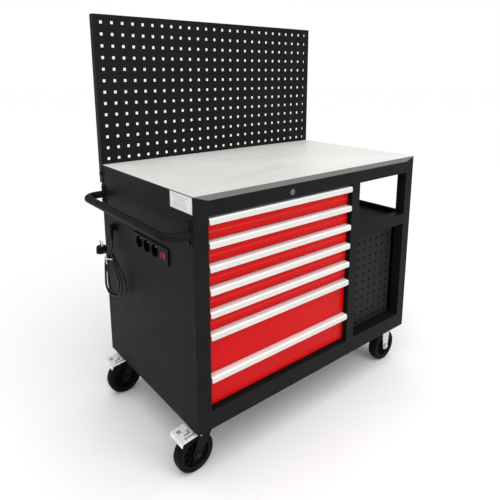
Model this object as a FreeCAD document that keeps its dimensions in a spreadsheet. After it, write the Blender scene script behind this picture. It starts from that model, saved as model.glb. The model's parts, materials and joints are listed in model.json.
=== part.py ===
"""Mobile workbench with drawers: a sheet-steel cabinet on casters with seven drawers, an open shelf bay,
a steel worktop and a perforated back board.

Millimetres. Cabinet coordinates are used throughout: x runs along the front from the left side, y from the
front face to the rear, z up from the lower edge of the body. Every sub-part is then shifted by one
placement, which puts the origin on the floor under the middle of the bench.
"""
import FreeCAD, Part
import math
import operator
import os
import Sketcher
from types import SimpleNamespace

Vector = FreeCAD.Vector

SIZES = {
    # body
    "body_width": 1000, "body_depth": 592, "sheet": 1.5, "seam": 0.3,
    "rail_bottom": 58, "rail_top": 61, "post_left": 48, "post_middle": 40, "post_right": 41,
    "drawer_opening": 594, "rim_depth": 38, "shelf_rail_height": 39, "shelf_rail_base": 443,
    "base_flange": 12, "divider_inset": 0.5,
    # worktop and perforated boards
    "core_thickness": 22, "top_sheet": 1.5, "top_lip_height": 17, "top_lip_slope": 47, "top_set_back": 16,
    "board_rise": 500, "board_overhang": 2, "board_flange": 26, "board_ear": 66, "board_gap": 0.4,
    "hole_side": 9.5, "board_pitch": 38, "board_top_margin": 20.5, "board_side_margin": 20,
    "board_low_margin": 13, "hook_pitch_across": 36, "hook_pitch_up": 32, "hook_hole": 8,
    "hook_set_back": 45, "hook_gap": 7, "hook_flange": 10, "shelf_drop": 20, "side_opening_post": 42,
    # drawers
    "small_drawer": 68, "large_drawer": 133, "medium_drawer": 104, "stack_gap_top": 7, "stack_gap_low": 3,
    "front_gap_side": 2.5, "front_gap_up": 3, "front_recess": 18, "front_thickness": 14, "front_sheet": 1.2,
    "crease_rise": 24, "crease_out": 1.4, "crease_run": 5, "grip_proud": 2, "grip_lip": 18,
    "grip_wall": 1.8, "grip_cover": 12, "grip_round": 6, "grip_corner": 5,
    "tray_sheet": 1.0, "tray_drop": 18, "tray_lift": 5, "tray_rear_gap": 44, "slide_space": 14,
    "slide_height": 36, "slide_sheet": 1.4, "slide_play": 0.8, "slide_member": 22, "slide_rear_gap": 20,
    "upright_width": 30, "upright_front": 46, "upright_rear": 90,
    # handle, power strip and lock
    "handle_tube": 25, "handle_wall": 2, "handle_reach": 70, "handle_bend": 42, "handle_end": 16,
    "handle_height": 602, "handle_plate": 28, "handle_plate_height": 66, "handle_plate_sheet": 3,
    "bolt_pitch": 44, "bolt_head": 6.5, "bolt_head_height": 4,
    "strip_front": 131, "strip_length": 222, "strip_height": 50, "strip_base": 476, "strip_proud": 5,
    "strip_inside": 30, "socket_radius": 19, "socket_depth": 15, "socket_pitch": 50, "socket_first": 78,
    "pin_hole": 2.6, "pin_pitch": 19, "switch_long": 30, "switch_wide": 21, "switch_place": 10,
    "switch_play": 0.6, "switch_depth": 12, "rocker_pin": 1.2, "rocker_pin_depth": 1.7,
    "rocker_pin_long": 2, "rocker_pin_play": 0.1, "lock_radius": 9.5, "lock_play": 0.06, "lock_proud": 2,
    "lock_inside": 22, "lock_place": 355, "lock_drop": 42,
    # casters
    "caster_clearance": 30, "caster_inset": 56, "swivel_inset": 58, "fixed_inset": 58, "swivel_trail": 42,
    "wheel_diameter": 125, "wheel_width": 36, "tyre_wall": 15, "tread_round": 7, "boss_width": 40,
    "boss_radius": 14, "web_width": 10, "rim_wall": 4, "axle_radius": 6, "axle_play": 0.05,
    "leg_sheet": 3, "leg_gap": 0.5, "leg_round": 15, "crown_radius": 32, "plate_long": 105,
    "plate_wide": 85, "plate_sheet": 3, "plate_pitch_long": 80, "plate_pitch_wide": 60, "race_radius": 28,
    "race_height": 7, "race_gap": 0.5, "crown_sheet": 5, "king_radius": 6, "king_nut": 10,
    "king_nut_height": 4, "pedal_wide": 68, "pedal_inner": 37, "pedal_outer": 98, "pedal_sheet": 2.5,
    "pedal_drop": 7, "pedal_lip": 12, "pedal_depth": 14, "pedal_pivot": 30, "pedal_pivot_drop": 26,
    "pedal_cheek": 2.5, "stub_radius": 4,
    # mains lead
    "lead_radius": 3.5, "gland_width": 26, "gland_out": 22, "gland_rise": 8, "gland_place": 500,
    "gland_base": 480, "relief_length": 22, "hank_thickness": 17, "plug_radius": 18, "plug_thickness": 25,
    "pin_radius": 2.4, "pin_length": 19,
}

SMALL_DRAWERS = 5
TURN = 90                    # a quarter turn, degrees


class Size:
    """A length that carries its value and the spreadsheet expression it comes from."""

    def __init__(self, value, text):
        self.value = value
        self.text = text

    def __add__(self, other):
        return joined(self, other, operator.add, "+")

    def __radd__(self, other):
        return joined(other, self, operator.add, "+")

    def __sub__(self, other):
        return joined(self, other, operator.sub, "-")

    def __rsub__(self, other):
        return joined(other, self, operator.sub, "-")

    def __mul__(self, other):
        return joined(self, other, operator.mul, "*")

    def __rmul__(self, other):
        return joined(other, self, operator.mul, "*")

    def __truediv__(self, other):
        return joined(self, other, operator.truediv, "/")

    def __neg__(self):
        return Size(-self.value, f"(-1 * {self.text})")


def value_of(size):
    return size.value if isinstance(size, Size) else size


def text_of(size):
    return size.text if isinstance(size, Size) else str(size)


def joined(left, right, function, sign):
    value = function(value_of(left), value_of(right))
    return Size(value, f"({text_of(left)} {sign} {text_of(right)})")


def whole(size):
    """The whole part of a size, for a number of holes."""
    return Size(math.floor(size.value), f"floor({size.text})")


# ---------------------------------------------------------------- document and sheet
doc = FreeCAD.newDocument("workbench")
sheet = doc.addObject("Spreadsheet::Sheet", "Sizes")
for row, (alias, number) in enumerate(SIZES.items(), start=1):
    sheet.set(f"A{row}", alias)
    sheet.set(f"B{row}", str(number))
    sheet.setAlias(f"B{row}", alias)
doc.recompute()
d = SimpleNamespace(**{alias: Size(number, f"Sizes.{alias}") for alias, number in SIZES.items()})

# Sizes that follow from the sheet.
stack_base = d.rail_bottom + d.stack_gap_low
stack_height = d.small_drawer * SMALL_DRAWERS + d.large_drawer + d.medium_drawer
stack_top = stack_base + stack_height
opening_top = stack_top + d.stack_gap_top
opening_height = opening_top - d.rail_bottom
body_height = opening_top + d.rail_top
panel_top = body_height - d.top_sheet - d.seam
lock_height = body_height - d.lock_drop
drawer_right = d.post_left + d.drawer_opening
bay_left = drawer_right + d.post_middle
bay_right = d.body_width - d.post_right
bay_width = bay_right - bay_left
shelf_rail_top = d.shelf_rail_base + d.shelf_rail_height
shelf_floor = shelf_rail_top - d.shelf_drop
board_face = d.body_depth - d.top_set_back
wheel_radius = d.wheel_diameter / 2
caster_height = d.wheel_diameter + d.caster_clearance
axle_drop = caster_height - wheel_radius
fixed_place = d.body_width - d.fixed_inset
far_casters = d.body_depth - d.caster_inset
leg_inner = d.boss_width / 2 + d.leg_gap
leg_outer = leg_inner + d.leg_sheet

# The origin: on the floor, in the middle of the box round the bench without its mains lead.
shift_x = (d.handle_reach + d.handle_tube / 2 - fixed_place - wheel_radius) / 2
shift_y = (d.lock_proud - board_face - d.board_flange) / 2
shift_z = caster_height

NODES = []


# ---------------------------------------------------------------- helpers
def at(thing, x, y, z):
    for axis, place in zip("xyz", (x, y, z)):
        thing.setExpression("Placement.Base." + axis, text_of(place))
    return thing


def bind(thing, **sizes):
    for name, size in sizes.items():
        thing.setExpression(name, text_of(size))
    return thing


def turned(thing, axis, angle):
    thing.Placement = FreeCAD.Placement(Vector(), FreeCAD.Rotation(axis, angle))
    return thing


ALONG = {"X": (Vector(0, 1, 0), TURN), "Y": (Vector(1, 0, 0), -TURN), "Z": (Vector(0, 0, 1), 0)}


def box(x, y, z, length, width, height):
    return at(bind(doc.addObject("Part::Box", "block"), Length=length, Width=width, Height=height), x, y, z)


def cylinder(x, y, z, radius, height, along="Z"):
    rod = turned(doc.addObject("Part::Cylinder", "rod"), *ALONG[along])
    return at(bind(rod, Radius=radius, Height=height), x, y, z)


def cone(x, y, z, radius_low, radius_high, height, along="Z"):
    taper = turned(doc.addObject("Part::Cone", "taper"), *ALONG[along])
    return at(bind(taper, Radius1=radius_low, Radius2=radius_high, Height=height), x, y, z)


def hexagon(x, y, z, radius, height, along="Z"):
    head = turned(doc.addObject("Part::Prism", "head"), *ALONG[along])
    head.Polygon = 6
    return at(bind(head, Circumradius=radius, Height=height), x, y, z)


def fused(*shapes):
    whole_piece = doc.addObject("Part::MultiFuse", "joined")
    whole_piece.Shapes = list(shapes)
    whole_piece.Refine = True
    return whole_piece


def group(*shapes):
    several = doc.addObject("Part::Compound", "set")
    several.Links = list(shapes)
    return several


def cut(base, *tools):
    rest = doc.addObject("Part::Cut", "cut")
    rest.Base = base
    rest.Tool = tools[0] if len(tools) == 1 else group(*tools)
    return rest


def sub_part(label, thing, x=0, y=0, z=0):
    thing.Label = label
    at(thing, shift_x + x, shift_y + y, shift_z + z)
    NODES.append(thing)
    return thing


def origin_plane(body, role):
    return [feature for feature in body.Origin.OriginFeatures if feature.Role == role][0]


def new_sketch(body, plane, offset=0):
    sketch = body.newObject("Sketcher::SketchObject", "sketch")
    sketch.AttachmentSupport = (origin_plane(body, plane), [""])
    sketch.MapMode = "FlatFace"
    sketch.setExpression("AttachmentOffset.Base.z", text_of(offset))
    return sketch


def pin_point(sketch, piece, end, across, up):
    """Fix one point of a sketch at sizes measured from the sketch's origin."""
    for kind, size, axis in (("DistanceX", across, -2), ("DistanceY", up, -1)):
        if value_of(size) == 0:
            sketch.addConstraint(Sketcher.Constraint("PointOnObject", piece, end, axis))
            continue
        ends = (-1, 1, piece, end) if value_of(size) > 0 else (piece, end, -1, 1)
        length = size if value_of(size) > 0 else -size
        number = sketch.addConstraint(Sketcher.Constraint(kind, *ends, value_of(length)))
        sketch.setExpression(f"Constraints[{number}]", text_of(length))


def outline(sketch, points):
    """A closed polygon whose corners are bound to the sheet."""
    corners = [Vector(value_of(across), value_of(up), 0) for across, up in points]
    count = len(points)
    for index, corner in enumerate(corners):
        sketch.addGeometry(Part.LineSegment(corner, corners[(index + 1) % count]), False)
    for index, (across, up) in enumerate(points):
        sketch.addConstraint(Sketcher.Constraint("Coincident", index, 2, (index + 1) % count, 1))
        pin_point(sketch, index, 1, across, up)


def rectangle(sketch, across, up, width, height):
    right, top = across + width, up + height
    outline(sketch, [(across, up), (right, up), (right, top), (across, top)])


def disc(sketch, across, up, radius):
    circle = Part.Circle(Vector(value_of(across), value_of(up), 0), Vector(0, 0, 1), value_of(radius))
    piece = sketch.addGeometry(circle, False)
    pin_point(sketch, piece, 3, across, up)
    number = sketch.addConstraint(Sketcher.Constraint("Radius", piece, value_of(radius)))
    sketch.setExpression(f"Constraints[{number}]", text_of(radius))


def extrude(body, kind, sketch, length, side="One side", backwards=False):
    feature = body.newObject("PartDesign::" + kind, kind.lower())
    feature.Profile = sketch
    feature.SideType = side
    feature.Reversed = backwards
    return bind(feature, Length=length)


def revolve(body, sketch, axis):
    feature = body.newObject("PartDesign::Revolution", "revolution")
    feature.Profile = sketch
    feature.ReferenceAxis = (sketch, [axis])
    feature.Angle = 4 * TURN
    return feature


def new_body(name):
    return doc.addObject("PartDesign::Body", name)


def rounded(body, feature, radius, wanted):
    """Fillet the feature's edges whose middle point the given test accepts."""
    doc.recompute()
    names = []
    for number, edge in enumerate(feature.Shape.Edges, start=1):
        if wanted(edge, edge.valueAt((edge.FirstParameter + edge.LastParameter) / 2)):
            names.append(f"Edge{number}")
    fillet = body.newObject("PartDesign::Fillet", "fillet")
    fillet.Base = (feature, names)
    return bind(fillet, Radius=radius)


def runs_along(edge, axis):
    """Whether an edge is a straight one in the direction of one axis."""
    if edge.Curve.TypeId != "Part::GeomLine":
        return False
    return abs(abs(edge.tangentAt(edge.FirstParameter).dot(axis)) - 1) < 1e-6


def near(left, right):
    return abs(left - value_of(right)) < 1e-3


# ---------------------------------------------------------------- body of the cabinet
def window(x, z, width, height):
    """The folded rim round one opening of the front, and the block that clears the opening."""
    sheet_edge = d.sheet
    rim = box(x - sheet_edge, 0, z - sheet_edge, width + sheet_edge * 2, d.rim_depth,
              height + sheet_edge * 2)
    clear = box(x, -1, z, width, d.rim_depth + 2, height)
    return rim, clear


def make_front_frame():
    face = box(0, 0, 0, d.body_width, d.sheet, panel_top)
    rims, clears = zip(
        window(d.post_left, d.rail_bottom, d.drawer_opening, opening_height),
        window(bay_left, shelf_rail_top, bay_width, opening_top - shelf_rail_top),
        window(bay_left, d.rail_bottom, bay_width, d.shelf_rail_base - d.rail_bottom))
    lock_hole = cylinder(d.lock_place, -1, lock_height, d.lock_radius + d.lock_play, d.sheet + 2, "Y")
    sub_part("front_frame", cut(fused(face, *rims), *clears, lock_hole))


def make_side_panels():
    depth = d.body_depth - d.sheet - d.seam
    start = d.sheet + d.seam
    strip_hole = box(-1, d.strip_front + d.sheet, d.strip_base + d.sheet, d.sheet + 2,
                     d.strip_length - d.sheet * 2, d.strip_height - d.sheet * 2)
    sub_part("left_side_panel", cut(box(0, start, 0, d.sheet, depth, panel_top), strip_hole))
    opening = (d.body_depth - d.side_opening_post * 2, opening_top - shelf_rail_top)
    panel = box(d.body_width - d.sheet, start, 0, d.sheet, depth, panel_top)
    hem = box(d.body_width - d.base_flange, d.side_opening_post - d.sheet, shelf_rail_top - d.sheet,
              d.base_flange, opening[0] + d.sheet * 2, opening[1] + d.sheet * 2)
    clear = box(d.body_width - d.base_flange - 1, d.side_opening_post, shelf_rail_top,
                d.base_flange + 2, opening[0], opening[1])
    sub_part("right_side_panel", cut(fused(panel, hem), clear))


def make_rear_and_base():
    edge = d.sheet + d.seam
    inner_width = d.body_width - edge * 2
    rear = d.body_depth - d.sheet
    sheet_part = box(edge, rear, d.base_flange + d.seam * 2, inner_width, d.sheet,
                     panel_top - d.base_flange - d.seam * 2)
    top_hem = box(edge, board_face + d.seam, panel_top - d.sheet, inner_width,
                  d.top_set_back - d.seam, d.sheet)
    sub_part("back_panel", fused(sheet_part, top_hem))
    sub_part("base_panel", group(box(edge, edge, 0, inner_width, rear - edge - d.seam, d.sheet)))
    start = d.rim_depth + d.seam
    core_base = body_height - d.top_sheet - d.core_thickness
    divider = box(bay_left - d.sheet - d.divider_inset, start, d.sheet + d.seam, d.sheet,
                  rear - start - d.seam, core_base - d.sheet - d.seam * 2)
    sub_part("divider_panel", group(divider))


def make_shelf():
    left = bay_left + d.seam
    right = d.body_width - d.base_flange - d.seam
    start = d.rim_depth + d.seam
    depth = d.body_depth - d.sheet - d.seam - start
    floor = box(left, start, shelf_floor, right - left, depth, d.sheet)
    lip_front = box(left, start, shelf_floor - d.base_flange, right - left, d.sheet, d.base_flange)
    lip_side = box(right - d.sheet, start, shelf_floor, d.sheet, depth, d.shelf_drop - d.seam - d.sheet)
    lip_rear = box(left, start + depth - d.sheet, shelf_floor, right - left, d.sheet, d.shelf_drop)
    sub_part("bay_shelf", fused(floor, lip_front, lip_side, lip_rear))


def perforated(name, width, height, hole, pitches, counts, first):
    """A sheet in the XZ plane with a square grid of square holes; its own origin is its lower left."""
    body = new_body(name)
    blank = new_sketch(body, "XZ_Plane")
    rectangle(blank, 0, 0, width, height)
    extrude(body, "Pad", blank, d.sheet, backwards=True)
    one_hole = new_sketch(body, "XZ_Plane")
    rectangle(one_hole, first[0], first[1], hole, hole)
    pocket = extrude(body, "Pocket", one_hole, d.sheet * 2, side="Symmetric")
    pocket.Type = "ThroughAll"
    grid = body.newObject("PartDesign::LinearPattern", "grid")
    grid.Originals = [pocket]
    grid.Direction = (one_hole, ["H_Axis"])
    grid.Direction2 = (one_hole, ["V_Axis"])
    bind(grid, Occurrences=counts[0], Length=pitches[0] * (counts[0] - 1),
         Occurrences2=counts[1], Length2=pitches[1] * (counts[1] - 1))
    body.Tip = grid
    return body


def make_back_board():
    width = d.body_width + d.board_overhang * 2
    base = body_height + d.board_gap
    height = body_height + d.board_rise - base
    columns = whole((width - d.board_side_margin * 2 - d.hole_side) / d.board_pitch) + 1
    rows = whole((height - d.board_top_margin - d.board_low_margin - d.hole_side) / d.board_pitch) + 1
    first_column = (width - d.board_pitch * (columns - 1) - d.hole_side) / 2
    first_row = height - d.board_top_margin - d.hole_side - d.board_pitch * (rows - 1)
    face = perforated("board_face", width, height, d.hole_side, (d.board_pitch, d.board_pitch),
                      (columns, rows), (first_column, first_row))
    at(face, -d.board_overhang, board_face, base)
    ear_base = body_height - d.board_ear
    ear_height = base + height - ear_base
    parts = [face]
    for side in (-d.board_overhang, d.body_width + d.board_overhang - d.sheet):
        parts.append(box(side, board_face, ear_base, d.sheet, d.board_flange, ear_height))
    for level in (base, base + height - d.sheet):
        parts.append(box(-d.board_overhang, board_face, level, width, d.board_flange, d.sheet))
    sub_part("back_board", fused(*parts))


def make_hook_panel():
    left = bay_left + d.hook_gap
    width = bay_width - d.hook_gap * 2
    base = d.rail_bottom - d.sheet * 2
    height = shelf_floor - d.base_flange - d.seam - base
    columns = whole((width - d.board_side_margin) / d.hook_pitch_across) + 1
    rows = whole((height - d.board_side_margin * 2) / d.hook_pitch_up) + 1
    first_column = (width - d.hook_pitch_across * (columns - 1) - d.hook_hole) / 2
    first_row = height - d.board_low_margin * 2 - d.hook_pitch_up * (rows - 1)
    face = perforated("hook_face", width, height, d.hook_hole, (d.hook_pitch_across, d.hook_pitch_up),
                      (columns, rows), (first_column, first_row))
    at(face, left, d.hook_set_back, base)
    parts = [face]
    for side in (left, left + width - d.sheet):
        parts.append(box(side, d.hook_set_back, base, d.sheet, d.hook_flange, height))
    sub_part("hook_panel", fused(*parts))


def make_worktop():
    inset = d.sheet + d.seam
    core_base = body_height - d.top_sheet - d.core_thickness
    sub_part("worktop_core", group(box(inset, inset, core_base, d.body_width - inset * 2,
                                       board_face - inset - d.seam * 2, d.core_thickness - d.seam)))
    body = new_body("worktop_sheet_body")
    lip = new_sketch(body, "XZ_Plane")
    outline(lip, [(0, -d.top_sheet), (d.top_lip_slope, -d.top_lip_height),
                  (d.body_width - d.top_lip_slope, -d.top_lip_height), (d.body_width, -d.top_sheet),
                  (d.body_width, 0), (0, 0)])
    extrude(body, "Pad", lip, d.top_sheet, backwards=True)
    plate = new_sketch(body, "XY_Plane")
    rectangle(plate, 0, 0, d.body_width, board_face + d.top_sheet)
    flat = extrude(body, "Pad", plate, d.top_sheet, backwards=True)
    rounded(body, flat, d.top_sheet * 0.6,
            lambda edge, middle: runs_along(edge, Vector(1, 0, 0)) and near(middle.y, 0) and near(middle.z, 0))
    sub_part("worktop_sheet", body, 0, -d.top_sheet - d.seam, body_height)


# ---------------------------------------------------------------- drawers
tray_left = d.post_left + d.slide_space
tray_width = d.drawer_opening - d.slide_space * 2
tray_front = d.front_recess + d.front_thickness
tray_depth = d.body_depth - d.tray_rear_gap - tray_front
slide_length = tray_depth - d.slide_rear_gap


def channel(x, y, z, width, length, height, wall, open_right):
    """A C-shaped rail along y, open towards +x or -x."""
    outside = box(x, y, z, width, length, height)
    inside_x = x + wall if open_right else x - 1
    return cut(outside, box(inside_x, y - 1, z + wall, width - wall + 1, length + 2, height - wall * 2))


def make_front(name, height, creased):
    """A shallow folded pan, open at the back, with a crease line in the lower part of a small one."""
    body = new_body(name)
    side = new_sketch(body, "YZ_Plane")
    out = d.crease_out
    profile = [(out, 0)]
    if creased:
        profile += [(0, d.crease_rise - d.crease_run), (out, d.crease_rise)]
    profile += [(out, height), (out + d.front_thickness, height), (out + d.front_thickness, 0)]
    outline(side, profile)
    extrude(body, "Pad", side, d.drawer_opening - d.front_gap_side * 2)
    return body


def make_grip(name, length):
    """An extruded grip: a flat top that runs forward and turns down into a finger lip."""
    body = new_body(name)
    side = new_sketch(body, "YZ_Plane")
    depth = d.grip_proud + d.front_recess + d.grip_cover
    step = d.grip_lip - d.grip_wall
    outline(side, [(0, 0), (d.grip_wall, 0), (d.grip_wall, step), (depth, step),
                   (depth, d.grip_lip), (0, d.grip_lip)])
    pad = extrude(body, "Pad", side, length)
    along = Vector(1, 0, 0)
    outer = rounded(body, pad, d.grip_round,
                    lambda edge, middle: runs_along(edge, along) and near(middle.y, 0)
                    and near(middle.z, d.grip_lip))
    inner = rounded(body, outer, d.grip_round - d.grip_wall,
                    lambda edge, middle: runs_along(edge, along) and near(middle.y, d.grip_wall)
                    and near(middle.z, step))
    rounded(body, inner, d.grip_corner,
            lambda edge, middle: runs_along(edge, Vector(0, 1, 0)) and near(middle.z, 0))
    return body


def make_drawer(number, top, module, creased):
    name = f"drawer_{number}"
    front_left = d.post_left + d.front_gap_side
    front_width = d.drawer_opening - d.front_gap_side * 2
    front_height = module - d.front_gap_up - d.grip_wall
    front_base = top - d.grip_wall - front_height
    pan = make_front(name + "_pan", front_height, creased)
    at(pan, front_left, d.front_recess - d.crease_out, front_base)
    wall = d.front_sheet
    hollow = box(front_left + wall, d.front_recess + wall, front_base + wall, front_width - wall * 2,
                 d.front_thickness, front_height - wall * 2)
    sub_part(name + "_front", cut(pan, hollow))
    sub_part(name + "_grip", make_grip(name + "_grip_body", front_width),
             front_left, -d.grip_proud, top - d.grip_lip)
    tray_base = front_base + d.tray_lift
    tray_height = module - d.tray_drop
    outside = box(tray_left, tray_front, tray_base, tray_width, tray_depth, tray_height)
    inside = box(tray_left + d.tray_sheet, tray_front + d.tray_sheet, tray_base + d.tray_sheet,
                 tray_width - d.tray_sheet * 2, tray_depth - d.tray_sheet * 2, tray_height)
    rail_base = tray_base + tray_height / 2 - d.slide_height / 2
    member_base = rail_base + (d.slide_height - d.slide_member) / 2
    member_width = d.slide_space - d.slide_sheet - d.slide_play
    members = [
        channel(tray_left - member_width, tray_front + 1, member_base, member_width, slide_length,
                d.slide_member, d.slide_sheet, True),
        channel(tray_left + tray_width, tray_front + 1, member_base, member_width, slide_length,
                d.slide_member, d.slide_sheet, False)]
    sub_part(name + "_tray", group(cut(outside, inside), *members))
    rail_width = d.slide_space - d.slide_sheet * 3
    rail_left = channel(d.post_left, tray_front + 1, rail_base, rail_width, slide_length + d.slide_rear_gap,
                        d.slide_height, d.slide_sheet, True)
    rail_right = channel(drawer_right - rail_width, tray_front + 1, rail_base, rail_width,
                         slide_length + d.slide_rear_gap, d.slide_height, d.slide_sheet, False)
    return rail_left, rail_right


def make_drawers():
    modules = [d.small_drawer] * SMALL_DRAWERS + [d.large_drawer, d.medium_drawer]
    top = stack_top
    rails = []
    for number, module in enumerate(modules, start=1):
        rails += make_drawer(number, top, module, number <= SMALL_DRAWERS)
        top = top - module
    sub_part("cabinet_runners", group(*rails))


def make_uprights():
    """Four C-shaped uprights, standing in the base pan, which the runners are fixed to."""
    base = d.sheet
    height = opening_top + d.sheet * 2 - base
    uprights = []
    for y in (d.upright_front, d.body_depth - d.upright_rear):
        left_width = d.post_left - d.sheet - d.seam
        right_width = d.post_middle - d.sheet - d.divider_inset - d.seam
        for x, width, inner in ((d.sheet + d.seam, left_width, d.sheet * -1),
                                (drawer_right, right_width, d.sheet)):
            block = box(x, y, base, width, d.upright_width, height)
            uprights.append(cut(block, box(x + inner, y + d.sheet, base - 1, width,
                                           d.upright_width - d.sheet * 2, height + 2)))
    sub_part("runner_uprights", group(*uprights))


# ---------------------------------------------------------------- handle, power strip, gland, lock
def bar_pieces(radius):
    """A U of round bar in the XY plane: two legs from the panel, the long run and two bends."""
    straight = d.handle_reach - d.handle_bend
    first = d.handle_end
    last = d.body_depth - d.handle_end
    pieces = []
    for y in (first, last):
        pieces.append(cylinder(-straight, y, d.handle_height, radius, straight - d.seam, "X"))
    pieces.append(cylinder(-d.handle_reach, first + d.handle_bend, d.handle_height, radius,
                           last - first - d.handle_bend * 2, "Y"))
    for y, angle in ((first + d.handle_bend, 2 * TURN), (last - d.handle_bend, TURN)):
        bend = turned(doc.addObject("Part::Torus", "bend"), Vector(0, 0, 1), angle)
        bend.Angle3 = TURN
        pieces.append(at(bind(bend, Radius1=d.handle_bend, Radius2=radius), -straight, y, d.handle_height))
    return pieces


def make_handle():
    """Each stretch is bored before they are joined, so that the tube is hollow all the way."""
    outside = bar_pieces(d.handle_tube / 2)
    inside = bar_pieces(d.handle_tube / 2 - d.handle_wall)
    tubes = [cut(bar, bore) for bar, bore in zip(outside, inside)]
    plates = []
    for y in (d.handle_end, d.body_depth - d.handle_end):
        plates.append(box(-d.handle_plate_sheet - d.seam, y - d.handle_plate / 2,
                          d.handle_height - d.handle_plate_height / 2, d.handle_plate_sheet,
                          d.handle_plate, d.handle_plate_height))
    sub_part("push_handle", fused(*tubes, *plates))


def make_power_strip():
    face = -d.strip_proud
    middle = d.strip_base + d.strip_height / 2
    bezel = box(face, d.strip_front, d.strip_base, d.strip_proud - d.seam, d.strip_length, d.strip_height)
    inset = d.sheet + d.seam
    inside = box(-d.seam, d.strip_front + inset, d.strip_base + inset, d.strip_inside,
                 d.strip_length - inset * 2, d.strip_height - inset * 2)
    tools = []
    for index in range(3):
        y = d.strip_front + d.socket_first + d.socket_pitch * index
        tools.append(cylinder(face - 1, y, middle, d.socket_radius, d.socket_depth + 1, "X"))
        for side in (-d.pin_pitch / 2, d.pin_pitch / 2):
            tools.append(cylinder(face, y + side, middle, d.pin_hole, d.strip_inside, "X"))
    tools.append(box(face - 1, d.strip_front + d.switch_place, middle - d.switch_wide / 2,
                     d.switch_depth + 1, d.switch_long, d.switch_wide))
    rocker_place = d.strip_front + d.switch_place + d.switch_long / 2
    pin_end = d.switch_wide / 2 + d.rocker_pin_long
    socket = d.rocker_pin + d.rocker_pin_play
    tools.append(cylinder(face + d.rocker_pin_depth, rocker_place, middle - pin_end - d.rocker_pin_play, socket,
                          (pin_end + d.rocker_pin_play) * 2))
    sub_part("power_strip", cut(fused(bezel, inside), *tools))
    play = d.switch_play
    body = new_body("rocker")
    plan = new_sketch(body, "XY_Plane")
    half = d.switch_long / 2 - play
    outline(plan, [(0, -half), (d.switch_depth / 2, -half * 0.8), (d.switch_depth / 2, half * 0.8),
                   (0, half), (-d.switch_depth * 0.3, half * 0.98), (-d.switch_depth * 0.05, 0),
                   (-d.switch_depth * 0.16, -half * 0.98)])
    extrude(body, "Pad", plan, d.switch_wide - play * 2)
    pin = cylinder(d.rocker_pin_depth, 0, -d.rocker_pin_long - play, d.rocker_pin,
                   d.switch_wide + d.rocker_pin_long * 2)
    sub_part("power_switch", fused(body, pin), face, rocker_place, middle - d.switch_wide / 2 + play)


def make_gland():
    """A moulded cable entry: a flange on the panel, a hood, and a ribbed sleeve round the lead."""
    y = d.gland_place
    rise = d.gland_width / 2 + d.gland_rise
    flange = cylinder(-d.gland_out * 0.2, y, d.gland_base + rise, d.gland_width / 2,
                      d.gland_out * 0.2 - d.seam, "X")
    hood = cylinder(-d.gland_out, y, d.gland_base + rise, d.gland_width / 2 - 2.5,
                    d.gland_out - d.seam, "X")
    barrel = cylinder(-d.gland_out / 2 - 2, y, d.gland_base, d.lead_radius * 2.4, rise)
    sleeve = cone(-d.gland_out / 2 - 2, y, d.gland_base - d.relief_length, d.lead_radius + 1,
                  d.lead_radius * 1.9, d.relief_length)
    sub_part("cable_gland", fused(flange, hood, barrel, sleeve))


def make_lock():
    barrel = cylinder(d.lock_place, -d.lock_proud, lock_height, d.lock_radius,
                      d.lock_proud + d.lock_inside, "Y")
    keyway = box(d.lock_place - 0.9, -d.lock_proud - 1, lock_height - 4.2, 1.8, 9, 8.4)
    cam = box(d.lock_place - 5, d.lock_inside - 3, lock_height - d.lock_radius * 0.9, 10, 2.5,
              d.lock_radius * 1.8)
    sub_part("lock_cylinder", fused(cut(barrel, keyway), cam))


# ---------------------------------------------------------------- casters
def leg_blank(body, top_left, top_right, top, axle_x, axle_z):
    """Both fork legs: a tapering outline with a round end at the axle, cleared between the legs."""
    side = new_sketch(body, "XZ_Plane")
    round_end = d.leg_round
    outline(side, [(top_left, top), (top_right, top), (axle_x + round_end, axle_z),
                   (axle_x - round_end, axle_z)])
    extrude(body, "Pad", side, leg_outer * 2, side="Symmetric")
    end = new_sketch(body, "XZ_Plane")
    disc(end, axle_x, axle_z, round_end)
    extrude(body, "Pad", end, leg_outer * 2, side="Symmetric")
    inside = new_sketch(body, "XZ_Plane")
    rectangle(inside, axle_x - wheel_radius, -caster_height, wheel_radius * 3,
              caster_height + top - d.crown_sheet)
    extrude(body, "Pocket", inside, leg_inner * 2, side="Symmetric")
    axle = new_sketch(body, "XZ_Plane")
    disc(axle, axle_x, axle_z, d.axle_radius)
    hole = extrude(body, "Pocket", axle, leg_outer * 3, side="Symmetric")
    return hole


crown_top = -(d.plate_sheet + d.race_height + d.race_gap)


def make_swivel_fork(label, y):
    body = new_body(label + "_body")
    leg_blank(body, -d.race_radius, d.race_radius - 4, crown_top, -d.swivel_trail, -axle_drop)
    crown = new_sketch(body, "XY_Plane", crown_top)
    disc(crown, 0, 0, d.crown_radius)
    extrude(body, "Pad", crown, d.crown_sheet, backwards=True)
    king = new_sketch(body, "XY_Plane", crown_top)
    disc(king, 0, 0, d.king_radius + d.axle_play)
    extrude(body, "Pocket", king, d.crown_sheet * 2, side="Symmetric")
    pivot = new_sketch(body, "XZ_Plane")
    disc(pivot, -d.pedal_pivot, -d.pedal_pivot_drop, d.stub_radius + d.axle_play)
    extrude(body, "Pocket", pivot, leg_outer * 3, side="Symmetric")
    sub_part(label, body, d.swivel_inset, y, 0)


def mounting_plate(x, y):
    plate = box(x - d.plate_long / 2, y - d.plate_wide / 2, -d.plate_sheet, d.plate_long, d.plate_wide,
                d.plate_sheet)
    return plate


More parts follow.
